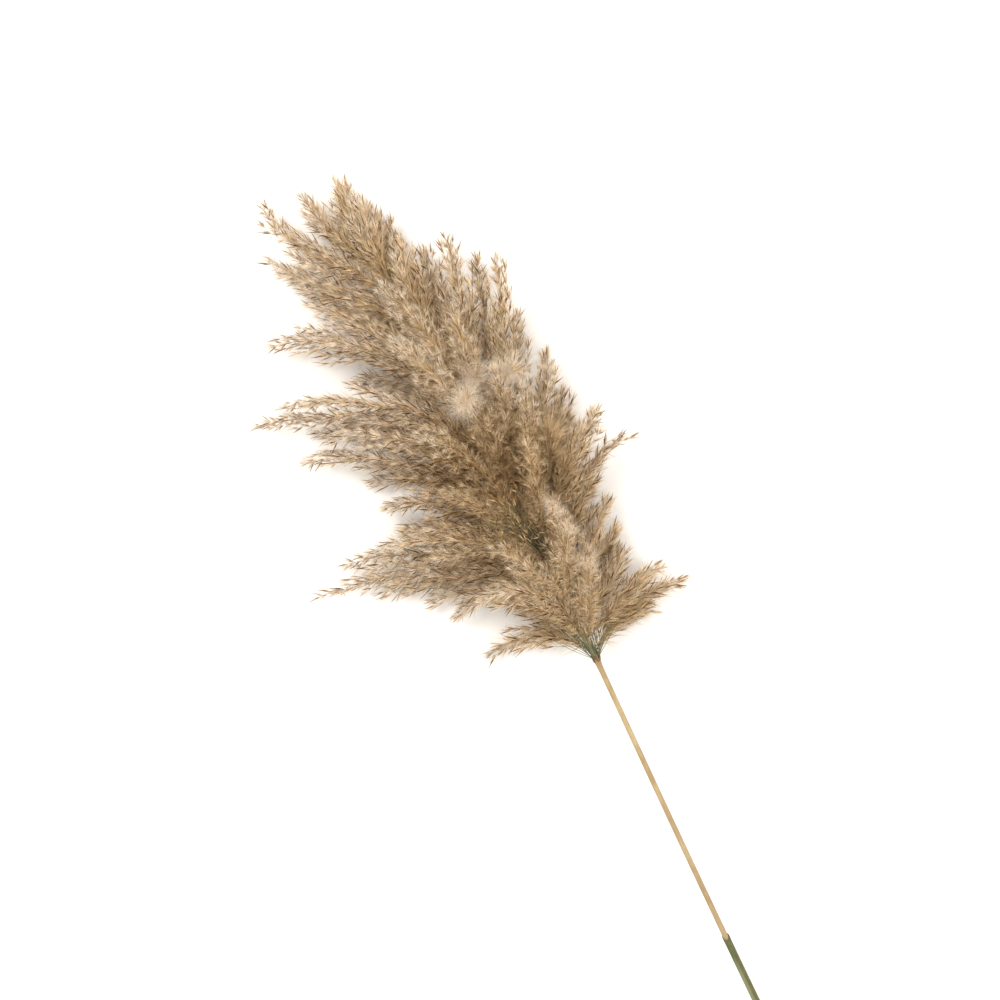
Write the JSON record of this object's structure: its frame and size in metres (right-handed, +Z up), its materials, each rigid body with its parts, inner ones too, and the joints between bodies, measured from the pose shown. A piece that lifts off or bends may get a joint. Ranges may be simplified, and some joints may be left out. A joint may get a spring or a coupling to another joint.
{
  "type": "dried reed stem with plume",
  "caption": "Dried reed lying down: a straight hollow-ended stem in a rolled leaf sheath, and one large feathery plume of arching sprays that lean to one side.",
  "frame": {"origin": "middle of the reed's footprint, on the surface that it lies on", "axes": "+Y along the stem from its cut end towards the plume, +Z up from the surface, +X to the right when the plume points away and the reed is seen from above"},
  "size_m": [0.24, 0.7392, 0.0872],
  "materials": {
    "straw_stem": "smooth dry straw, faintly waxy",
    "sage_sheath": "dry ribbed leaf, matte grey green",
    "plume_brown": "soft dry spikelets, brown to tan",
    "plume_pale": "soft dry spikelets with pale silky hairs"
  },
  "bodies": {
    "root": {"stem": "straw_stem", "leaf_sheath": "sage_sheath", "crown_spray_01": "plume_brown", "crown_spray_02": "plume_pale", "crown_spray_03": "plume_brown", "crown_spray_04": "plume_pale", "crown_spray_05": "plume_brown", "crown_spray_06": "plume_pale", "crown_spray_07": "plume_brown", "crown_spray_08": "plume_pale", "crown_spray_09": "plume_brown", "crown_spray_10": "plume_pale", "right_spray_01": "plume_brown", "right_spray_02": "plume_pale", "right_spray_03": "plume_brown", "right_spray_04": "plume_pale", "right_spray_05": "plume_brown", "right_spray_06": "plume_pale", "right_spray_07": "plume_brown", "right_spray_08": "plume_pale", "right_spray_09": "plume_brown", "right_spray_10": "plume_pale", "right_spray_11": "plume_brown", "right_spray_12": "plume_pale", "right_spray_13": "plume_brown", "right_spray_14": "plume_pale", "right_spray_15": "plume_brown", "right_spray_16": "plume_pale", "right_spray_17": "plume_brown", "left_spray_01": "plume_pale", "left_spray_02": "plume_brown", "left_spray_03": "plume_pale", "left_spray_04": "plume_brown", "left_spray_05": "plume_pale", "left_spray_06": "plume_brown", "left_spray_07": "plume_pale", "left_spray_08": "plume_brown", "left_spray_09": "plume_pale", "left_spray_10": "plume_brown", "left_spray_11": "plume_pale", "left_spray_12": "plume_brown", "left_spray_13": "plume_pale", "left_spray_14": "plume_brown", "left_spray_15": "plume_pale", "left_spray_16": "plume_brown", "left_spray_17": "plume_pale", "left_spray_18": "plume_brown", "left_spray_19": "plume_pale", "upper_spray_01": "plume_brown", "upper_spray_02": "plume_pale", "upper_spray_03": "plume_brown", "upper_spray_04": "plume_pale", "upper_spray_05": "plume_brown", "upper_spray_06": "plume_pale", "upper_spray_07": "plume_brown", "upper_spray_08": "plume_pale", "upper_spray_09": "plume_brown", "upper_spray_10": "plume_pale", "upper_spray_11": "plume_brown", "upper_spray_12": "plume_pale"}
  },
  "joints": []
}
